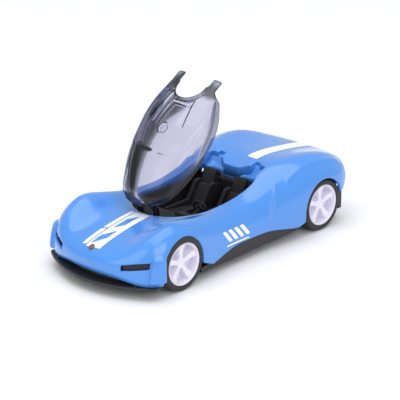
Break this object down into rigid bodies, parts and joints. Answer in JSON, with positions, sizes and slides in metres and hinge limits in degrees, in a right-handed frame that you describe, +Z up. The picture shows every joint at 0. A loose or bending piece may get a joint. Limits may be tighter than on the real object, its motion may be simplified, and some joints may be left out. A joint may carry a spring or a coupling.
{
  "type": "pull back toy car",
  "caption": "Small die-cast style pull back toy sports car with a front-hinged clear canopy, open cockpit and rubber tyred wheels.",
  "frame": {"origin": "on the ground under the middle of the car", "axes": "+X forward to the nose, +Y to the car's left, +Z up"},
  "size_m": [0.0795, 0.0356, 0.0426],
  "materials": {
    "blue_paint": "gloss",
    "clear_grey": "gloss",
    "interior_plastic": "satin",
    "chassis_plastic": "satin",
    "rim_plastic": "gloss",
    "tyre_rubber": "satin",
    "steel": "satin",
    "spring_steel": "satin",
    "motor_plastic": "satin"
  },
  "bodies": {
    "car": {"body_shell": "blue_paint", "interior_tub": "interior_plastic", "steering_wheel": "interior_plastic", "chassis_base": "chassis_plastic", "front_intake_insert": "chassis_plastic", "motor_case_left": "motor_plastic", "motor_case_right": "motor_plastic", "mainspring": "spring_steel", "compound_arbor": "steel", "chassis_screws": "steel", "motor_screws": "steel"},
    "canopy": {"canopy": "clear_grey"},
    "front_wheels": {"front_axle": "steel", "rim_front_left": "rim_plastic", "rim_front_right": "rim_plastic", "tyre_front_left": "tyre_rubber", "tyre_front_right": "tyre_rubber"},
    "rear_wheels": {"rear_axle": "steel", "axle_pinion": "motor_plastic", "rim_rear_left": "rim_plastic", "rim_rear_right": "rim_plastic", "tyre_rear_left": "tyre_rubber", "tyre_rear_right": "tyre_rubber"},
    "drum": {"spring_drum": "motor_plastic"},
    "compound": {"compound_gear": "motor_plastic"}
  },
  "joints": [
    {"name": "canopy_hinge", "type": "hinge", "parent": "car", "child": "canopy", "pos_m": [0.0246, 0, 0.0106], "axis": [0, 1, 0], "range_deg": [-41.8, 0]},
    {"name": "front_axle_spin", "type": "hinge", "parent": "car", "child": "front_wheels", "pos_m": [0.024, 0, 0.0066], "axis": [0, 1, 0], "continuous": true},
    {"name": "rear_axle_spin", "type": "hinge", "parent": "car", "child": "rear_wheels", "pos_m": [-0.0265, 0, 0.0066], "axis": [0, 1, 0], "continuous": true},
    {"name": "compound_spin", "type": "hinge", "parent": "car", "child": "compound", "pos_m": [-0.0232, 0, 0.0109], "axis": [0, 1, 0], "continuous": true},
    {"name": "drum_spin", "type": "hinge", "parent": "car", "child": "drum", "pos_m": [-0.0178, 0, 0.0079], "axis": [0, 1, 0], "continuous": true}
  ],
  "couplings": [
    {"joint": "compound_spin", "follows": "rear_axle_spin", "ratio": -0.5},
    {"joint": "drum_spin", "follows": "rear_axle_spin", "ratio": 0.20455}
  ]
}
